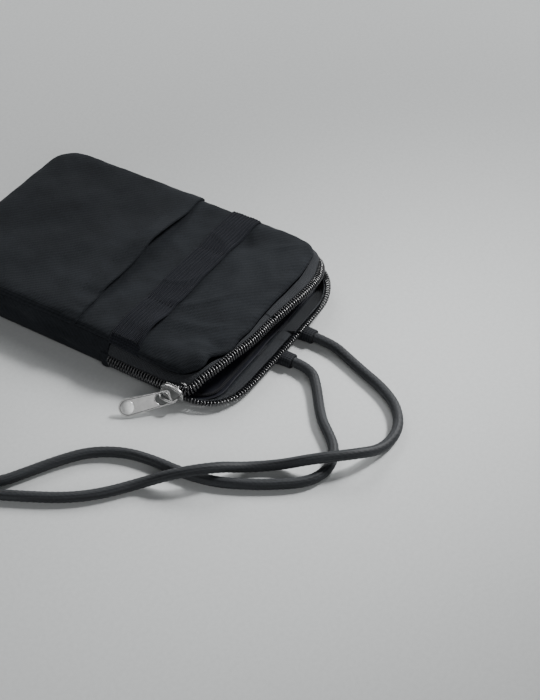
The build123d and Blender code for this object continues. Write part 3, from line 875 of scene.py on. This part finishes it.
def build_tape(name, half, line, root, mate, face, lengths, tuck, sunk, bulge):
    columns = 14
    t = np.linspace(0, 1, columns)
    end = line - mate * 0.5 - face * 1.2
    start = root - mate * tuck - face * sunk
    roll = bulge(line)
    wave = 0.10 * np.sin(lengths / 4.1) + 0.07 * np.sin(lengths / 2.3 + 1.0)
    arch = np.sin(pi * t) ** 0.6
    points = start[:, None] * (1 - t)[:, None] + end[:, None] * t[:, None]
    points = points + face[:, None] * ((roll + wave)[:, None] * arch)[..., None]
    width = np.linalg.norm(end - start, axis=1)
    surface = laid(points.shape[:2], lengths[:, None], width[:, None] * t)
    faces = grid_faces(len(line), columns)
    middle = points[len(line) // 2, columns // 2]
    below = points[len(line) // 2, columns // 2 + 1] - middle
    ahead = points[len(line) // 2 + 1, columns // 2] - middle
    if np.dot(np.cross(below, ahead), face[len(line) // 2]) < 0:
        faces = [f[::-1] for f in faces]
    tape = solidify(build_mesh(f"{name}_tape_{half}_weave", points, faces, TAPE_CLOTH, surface), 0.55)
    sharp = tape.modifiers.new("edges", "EDGE_SPLIT")
    sharp.split_angle = radians(50)
    bend_to_lip(tape, [f"{name}_tape_{half}", f"{name}_lip_tape"])


def build_coil(name, half, line, mate, face, lengths, phase):
    per_turn = 10
    count = int((lengths[-1] - lengths[0]) / COIL_PITCH * per_turn)
    s = np.linspace(lengths[0], lengths[-1], count)

    def at(values):
        return np.stack([np.interp(s, lengths, values[:, k]) for k in range(3)], 1)

    turn = 2 * pi * s / COIL_PITCH + phase
    centre, toward, out = at(line), unit(at(mate)), unit(at(face))
    helix = centre + toward * (COIL_HALF_W * np.cos(turn))[:, None]
    helix = helix + out * (COIL_HALF_T * np.sin(turn))[:, None]
    radius = FILAMENT_R + 0.12 * np.clip(np.cos(turn), 0, 1) ** 4
    coil = tube(f"{name}_coil_{half}_turns", helix, radius, COIL_PLASTIC, sides=6)
    bend_to_lip(coil, [f"{name}_coil_{half}", f"{name}_lip_coil"])
    stitch_line = centre - toward * 2.1 + out * 0.1
    stitch_line = resample(stitch_line, 0.32)
    row = tube(f"{name}_coil_{half}_thread", stitch_line, 0.2, THREAD, sides=5)
    bend_to_lip(row)


def build_zip():
    def front_roll(line):
        along_side = smoothstep((72 - line[:, 1]) / 12)
        far_corner = hill(line[:, 0], -54, 10) * hill(line[:, 1], 76, 12)
        return 0.5 + 1.5 * along_side + 1.6 * far_corner

    def rear_roll(line):
        return 0.4 + 0.3 * smoothstep((72 - line[:, 1]) / 12)

    zip_side("front", FRONT_COIL, FRONT_LOOP, -0.4, 1.3, front_roll, 0.0)
    zip_side("rear", REAR_COIL, BACK_LOOP, -0.2, 0.1, rear_roll, pi)
    for name, side in (("slider_side", 1), ("far_side", -1)):
        t = np.linspace(-1, 1, 9)
        z = np.linspace(1.8, 10.4, 14)
        tt, zz = np.meshgrid(t, z, indexing="ij")
        y = GUSSET_END_Y + 0.4 + 2.6 * tt
        x = side * (HALF + 0.2 + 1.5 * (1 - np.abs(tt) ** 3) * (1 - 0.35 * np.abs(zz - 6) / 5))
        points = np.stack([x, y + 0.2 * np.sin(zz), zz], -1)
        faces = grid_faces(9, 14) if side > 0 else [f[::-1] for f in grid_faces(9, 14)]
        fold = build_mesh(f"zip_end_cover_{name}", points, faces, CLOTH, np.stack([y, zz, 0 * zz], -1))
        finish_piece(solidify(fold, 0.6), "pouch", [f"zip_end_fold_{name}"])


# ---------------------------------------------------------------- slider and pull
def plate(name, outline, holes, thickness, bevel):
    """A flat plate with rounded edges from closed outlines in its own plane, centred on its thickness."""
    curve = bpy.data.curves.new(name, "CURVE")
    curve.dimensions = "2D"
    curve.fill_mode = "BOTH"
    for loop in [outline, *holes]:
        spline = curve.splines.new("POLY")
        spline.points.add(len(loop) - 1)
        spline.points.foreach_set("co", [c for u, v in loop for c in (u, v, 0, 1)])
        spline.use_cyclic_u = True
    curve.extrude = thickness / 2 - bevel
    curve.bevel_depth = bevel
    curve.bevel_resolution = 3
    curve.offset = -bevel
    holder = bpy.data.objects.new(name + "_outline", curve)
    bpy.context.scene.collection.objects.link(holder)
    bpy.context.view_layer.update()
    mesh = bpy.data.meshes.new_from_object(holder.evaluated_get(bpy.context.evaluated_depsgraph_get()))
    points = np.array([v.co for v in mesh.vertices], float).reshape(-1, 3)
    faces = [list(p.vertices) for p in mesh.polygons]
    bpy.data.objects.remove(holder)
    return points, faces


def placed(name, made, origin, x_dir, normal, material=PLATED):
    """A plate as a piece at origin, its own X and Z turned to x_dir and normal."""
    points, faces = made
    x_dir, normal = unit(x_dir), unit(normal)
    y_dir = np.cross(normal, x_dir)
    placed_points = np.array(origin) + points @ np.array([x_dir, y_dir, normal])
    piece = build_mesh(name, placed_points, faces, material, points)
    weld = piece.modifiers.new("weld", "WELD")
    weld.merge_threshold = 0.00001
    split = piece.modifiers.new("edges", "EDGE_SPLIT")
    split.split_angle = radians(50)
    return piece


def ellipse(middle, half_u, half_v, steps=40, power=1.0):
    turn = np.linspace(0, 2 * pi, steps, endpoint=False)
    c, s = np.cos(turn), np.sin(turn)
    return [(middle + half_u * np.sign(a) * abs(a) ** power, half_v * np.sign(b) * abs(b) ** power)
            for a, b in zip(c, s)]


def build_slider():
    low, high = node_box("slider_body")
    middle_y, outer = (low[1] + high[1]) / 2, 59.3
    plates = []
    for number, x in enumerate((outer, 54.3)):
        outline = ellipse(0, (high[1] - low[1]) / 2, (high[2] - low[2]) / 2, 48, 0.72)
        made = plate("plate", outline, [], 1.2, 0.35)
        plates.append(placed(f"slider_plate{number}", made, (x, middle_y, CHAIN_Z), (0, 1, 0), (1, 0, 0)))
    ridge = ellipse(0, (high[1] - low[1]) / 2 - 0.9, (high[2] - low[2]) / 2 - 0.9, 48, 0.72)
    rim_line = np.array([(outer + 0.62, middle_y + u, CHAIN_Z + v) for u, v in ridge + ridge[:1]])
    rim = tube("slider_rim", rim_line, 0.33, PLATED, 7, side_way=np.array([1.0, 0, 0]))
    front_y, rear_y, reach = high[1] - 1.9, low[1] + 1.8, high[0] - 0.45
    places = [(outer, rear_y), (outer + 2.2, rear_y), (reach - 0.6, rear_y + 0.9),
              (reach, (rear_y + front_y) / 2),
              (reach - 0.6, front_y - 0.9), (outer + 2.2, front_y), (outer, front_y)]
    arch = through([(x, y, CHAIN_Z) for x, y in places], 0.4)
    bridge = tube("slider_bridge", arch, 0.62, PLATED, 12, side_way=UP)
    post_y = high[1] - 2.4
    post = tube("slider_post", [(x, post_y, CHAIN_Z) for x in (53.9, 56, 59.2)], 1.3, PLATED, 14, flat=0.35)
    knob_line = [(outer + 0.3, rear_y - 0.5, CHAIN_Z), (outer + 1.3, rear_y - 0.9, CHAIN_Z),
                 (outer + 1.7, rear_y - 0.9, CHAIN_Z)]
    knob = tube("slider_knob", knob_line, [0.9, 0.8, 0.45], PLATED, 12)
    flanges = []
    for way in (-1, 1):
        z = CHAIN_Z + way * ((high[2] - low[2]) / 2 - 0.45)
        line = np.array([(58.1, y, z) for y in np.linspace(middle_y - 3.9, middle_y + 3.1, 12)])
        flanges.append(tube(f"slider_flange{way}", line, 0.5, PLATED, 8))
    body = join("slider_shell", plates + [rim, bridge, post, knob] + flanges)
    finish_piece(body, "slider", ["slider_body"])


def build_pull():
    """The pull: a flat tab with a rounded end, its eye, a dark line of painted shade inside its edge and a
    round boss.
    """
    joint = next(j for j in frame["joints"] if j["name"] == "pull_swing")
    eye = np.array(joint["pos_m"]) / MM
    mesh = frame["nodes"]["pull_tab"].data
    co = np.array([v.co for v in mesh.vertices], float) / MM
    centred = co - co.mean(0)
    _, _, axes = np.linalg.svd(centred, full_matrices=False)
    along, face = axes[0], axes[2]
    if np.dot(along, co.mean(0) - eye) < 0:
        along = -along
    if face[2] < 0:
        face = -face
    reach = ((co - eye) @ along).max()
    back = ((co - eye) @ along).min()
    half_w = 4.2
    tip = np.linspace(-pi / 2, pi / 2, 17)
    outline = [(back + 0.6, -half_w + 0.9)]
    outline += [(reach - half_w + half_w * cos(t), half_w * sin(t)) for t in tip]
    outline += [(back + 0.6, half_w - 0.9), (back, half_w - 2.1), (back, -half_w + 2.1)]
    made = plate("pull", outline, [ellipse(0, 3.1, 2.6, 32)], 0.9, 0.22)
    tab = placed("pull_plate", made, eye, along, face)
    side = np.cross(face, along)

    def raised(loop, height):
        return np.array([eye + along * u + side * v + face * height for u, v in loop])

    # Painted shade: a thin dark nickel tube stands in for the shadowed recess inside the pull's edge; the
    # plate is not recessed there.
    inner = [(u * 0.94 + 0.5, v * 0.84) for u, v in outline]
    painted_groove_shade = tube("pull_groove_painted_shade", raised(inner + inner[:1], 0.40), 0.17, PLATED_PAINTED_SHADE, 6, side_way=face)
    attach(painted_groove_shade, "pull")
    eye_loop = ellipse(0, 3.5, 3.0, 32)
    eye_rim = tube("pull_eye_rim", raised(eye_loop + eye_loop[:1], 0.42), 0.24, PLATED, 6, side_way=face)
    finish_piece(join("pull_tab_plate", [tab, eye_rim]), "pull", ["pull_tab"])
    boss = plate("boss", ellipse(reach - half_w, 3.1, 3.1, 36), [], 1.2, 0.2)
    boss_piece = placed("pull_boss", boss, eye, along, face, PLATED_DISC)
    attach(boss_piece, "pull")


# ---------------------------------------------------------------- neck cord and its tabs
FLOOR_Z, HUMP_Z, EXIT_Z = 2.5, 8.8, 3.2
COIL_MIDDLE = (162.0, -34.0)
TURN_IN, TURN_OUT = 25.0, 30.0
CORD_R = 2.5
RUN_A = [
    (-10, 100, EXIT_Z), (-10, 110.5, EXIT_Z), (-6, 121, FLOOR_Z), (-1.5, 132, FLOOR_Z),
    (3, 144, FLOOR_Z), (10.5, 155.5, FLOOR_Z), (23, 163, FLOOR_Z), (37, 162, FLOOR_Z),
    (50, 156.5, HUMP_Z), (63, 141, HUMP_Z), (68.5, 128, FLOOR_Z), (78.5, 114.5, FLOOR_Z),
    (88.5, 108, HUMP_Z), (101, 94.5, HUMP_Z), (108.5, 82, FLOOR_Z), (122, 71.5, FLOOR_Z),
    (132.5, 59.5, FLOOR_Z), (141, 44, FLOOR_Z), (149.5, 27, FLOOR_Z), (159.5, 10.9, FLOOR_Z),
    (170.1, 0.3, FLOOR_Z),
]
RUN_B = [
    (10, 100, EXIT_Z), (10, 110, EXIT_Z), (18.5, 117.5, FLOOR_Z), (27, 123.5, FLOOR_Z),
    (35.5, 130, FLOOR_Z), (40.5, 136, FLOOR_Z), (46.3, 142.3, FLOOR_Z), (53, 146, FLOOR_Z),
    (60.4, 147, FLOOR_Z), (67.6, 145, FLOOR_Z), (73.5, 140, FLOOR_Z), (79.3, 132, FLOOR_Z),
    (85.5, 122, FLOOR_Z), (92, 108.5, FLOOR_Z), (95, 93.5, FLOOR_Z), (95.5, 79, FLOOR_Z),
    (98, 65, FLOOR_Z), (106, 51.5, FLOOR_Z), (118, 42.5, FLOOR_Z), (130.5, 35, FLOOR_Z),
    (141, 28.5, FLOOR_Z), (147.4, 18, FLOOR_Z), (147.7, 6.3, FLOOR_Z), (142.6, -4.6, FLOOR_Z),
]


def coil_turns():
    """The put-away length: a turn and a half inwards, then up and back out on top."""
    points = []
    start, total, per_turn = 45.0, 1330.0, 16
    count = int(total / 360 * per_turn)
    for k in range(count + 1):
        turned = total * k / count
        angle = radians(start - turned)
        inward = smoothstep(turned / 560)
        outward_again = smoothstep((turned - 740) / 470)
        radius = TURN_OUT - (TURN_OUT - TURN_IN) * (inward - outward_again)
        z = FLOOR_Z + 5.0 * (smoothstep((turned - 560) / 180) - smoothstep((turned - 1250) / 80) * 0.25)
        points.append((COIL_MIDDLE[0] + radius * cos(angle), COIL_MIDDLE[1] + radius * sin(angle), float(z)))
    return points


def build_cord():
    control = RUN_A + coil_turns() + RUN_B[::-1]
    curve = bpy.data.curves.new("neck_cord_route", "CURVE")
    curve.dimensions = "3D"
    spline = curve.splines.new("NURBS")
    spline.points.add(len(control) - 1)
    for point, place in zip(spline.points, control):
        point.co = (*[c * MM for c in place], 1)
    spline.order_u = 3
    spline.use_endpoint_u = True
    spline.resolution_u = 24
    route = bpy.data.objects.new("neck_cord_route", curve)
    bpy.context.scene.collection.objects.link(route)
    bpy.context.view_layer.update()
    mesh = bpy.data.meshes.new_from_object(route.evaluated_get(bpy.context.evaluated_depsgraph_get()))
    line = np.array([v.co for v in mesh.vertices], float) / MM
    bpy.data.objects.remove(route)
    line = resample(line, 0.55)
    points, surface = braided(line)
    cord = build_mesh("neck_cord", points, bar_faces(*points.shape[:2]), CORD_YARN, surface)
    finish_piece(cord, "pouch", ["neck_cord_run_a", "neck_cord_run_b", "neck_cord_coil"])


def braided(line):
    """The cord's surface: two sets of strands that wind opposite ways and pass over and under each other."""
    sides, carriers, lead = 40, 8, 21.0
    along = directions(line)
    side = np.zeros_like(line)
    side[0] = unit(np.cross(along[0], UP))
    for k in range(1, len(line)):
        side[k] = unit(side[k - 1] - along[k] * np.dot(side[k - 1], along[k]))
    other = np.cross(along, side)
    s = lengths_along(line)[:, None]
    turn = np.linspace(0, 2 * pi, sides, endpoint=False)[None]
    a = carriers * turn / (2 * pi) + s * carriers / lead
    b = carriers * turn / (2 * pi) - s * carriers / lead
    over = (np.floor(a) + np.floor(b)) % 2 == 0
    across = np.where(over, a % 1, b % 1)
    lengthwise = np.where(over, b % 1, a % 1)
    height = np.sin(pi * across) ** 0.6 * (0.55 + 0.45 * np.sin(pi * lengthwise))
    radius = CORD_R - 0.20 + 0.22 * height
    ring = side[:, None] * np.cos(turn)[..., None] + other[:, None] * np.sin(turn)[..., None]
    points = line[:, None] + ring * radius[..., None]
    surface = np.stack([s + 0 * turn, CORD_R * np.cos(turn) + 0 * s, CORD_R * np.sin(turn) + 0 * s], -1)
    return points, surface


def build_tabs():
    """Webbing sewn into the back seam and folded into a sleeve round each end of the cord."""
    stations = [(82.0, 4.4, 0.75, 1.2), (86, 4.4, 0.75, 1.1), (90, 4.4, 0.9, 1.2), (92.5, 4.2, 1.9, 2.1),
                (94.5, 3.9, 3.0, 3.1), (97, 3.8, 3.05, 3.15), (99.4, 3.8, 3.0, 3.15), (100, 3.5, 2.8, 3.15),
                (99.9, 2.4, 2.3, 3.15), (97, 2.3, 2.3, 3.15)]
    turn = np.linspace(0, 2 * pi, 36, endpoint=False)
    for name, x in (("left", -10.0), ("right", 10.0)):
        rows = []
        for y, half_w, half_h, z in stations:
            flat = 0.45 if half_h < 1.5 else 0.8    # squarer where the webbing lies flat
            u = half_w * np.sign(np.cos(turn)) * np.abs(np.cos(turn)) ** flat
            v = half_h * np.sign(np.sin(turn)) * np.abs(np.sin(turn)) ** flat
            rows.append(np.column_stack([x + u, np.full_like(u, y), z + v]))
        points = np.array(rows)
        surface = np.stack([points[..., 1], points[..., 0], 0 * points[..., 0]], -1)
        faces = grid_faces(len(rows), 36, wrap=True) + [list(range(36))]
        tab = build_mesh(f"cord_tab_{name}_webbing", points, faces, WEBBING_CLOTH, surface)
        finish_piece(tab, "pouch", [f"cord_tab_{name}"])
        for number, y in enumerate((91.0, 92.4)):
            line = [(x + u, y, 2.1 + number * 1.3) for u in np.linspace(-3.6, 3.6, 20)]
            stitches(f"cord_tab_{name}_stitch{number}", line, 1.8, "pouch")


# ---------------------------------------------------------------- table, light and camera
def build_stage():
    size = 4000.0
    sweep = [(-size, 0), (900, 0)]
    sweep += [(900 + 700 * sin(a), 700 - 700 * cos(a)) for a in np.linspace(0, pi / 2, 16)[1:]]
    sweep += [(1600, 3000)]
    away = unit(np.array([-0.617, -0.377, 0]))
    side = np.array([-away[1], away[0], 0])
    points = [[away * d + side * w + UP * z for w in np.linspace(-size, size, 3)] for d, z in sweep]
    floor = build_mesh("table_sweep", np.array(points), grid_faces(len(sweep), 3), TABLE)


def aim(light, location, target):
    """Hangs a light at a place in metres, pointing at another."""
    holder = bpy.data.objects.new(light.name, light)
    bpy.context.scene.collection.objects.link(holder)
    holder.location = location
    holder.rotation_euler = (Vector(target) - Vector(location)).to_track_quat("-Z", "Y").to_euler()


def area_light(name, location, target, size, power):
    light = bpy.data.lights.new(name, "AREA")
    light.shape = "RECTANGLE"
    light.size, light.size_y = size
    light.energy = power
    aim(light, location, target)


def build_lights():
    # name, place, target, size in metres, watts
    area_light("key_softbox", (-0.80, 0.28, 0.64), (0.0, 0.08, 0.0), (0.36, 0.36), 6.0)
    area_light("rear_strip", (-0.50, -0.60, 0.60), (0.0, 0.0, 0.0), (0.7, 0.35), 5.0)
    area_light("side_fill", (0.85, -0.05, 0.22), (0.05, 0.0, 0.01), (0.5, 0.3), 1.3)
    area_light("camera_fill", (0.7, 1.0, 0.9), (0.05, 0.08, 0.0), (0.8, 0.8), 3.2)
    pool = bpy.data.lights.new("table_pool", "SPOT")
    pool.energy, pool.spot_size, pool.spot_blend, pool.shadow_soft_size = 56.0, radians(21), 1.0, 0.10
    aim(pool, (-0.70, 0.42, 0.72), (0.025, 0.125, 0.0))
    world = bpy.data.worlds.new("studio")
    world.use_nodes = True
    world.node_tree.nodes["Background"].inputs[0].default_value = (0.80, 0.83, 0.86, 1)
    world.node_tree.nodes["Background"].inputs[1].default_value = 0.09
    bpy.context.scene.world = world


def build_camera():
    """The photograph's view: a short telephoto from the slider's corner, looking down across the mouth."""
    camera = bpy.data.cameras.new("camera")
    camera.sensor_width = 36.0
    camera.lens = 70.7
    camera.clip_start, camera.clip_end = 0.05, 20.0
    holder = bpy.data.objects.new("camera", camera)
    bpy.context.scene.collection.objects.link(holder)
    azimuth, elevation, distance = radians(121.37), radians(43.67), 0.6625
    back = Vector((sin(azimuth) * cos(elevation), -cos(azimuth) * cos(elevation), sin(elevation)))
    target = Vector((0.0061, 0.0845, 0.0))
    holder.location = target + back * distance
    holder.rotation_euler = (-back).to_track_quat("-Z", "Y").to_euler()
    bpy.context.scene.camera = holder


build_stage()
build_lights()
build_camera()
build_front()
build_back()
build_wall()
build_bindings()
build_pocket()
build_hem()
build_elastic()
build_zip()
build_slider()
build_pull()
build_cord()
build_tabs()
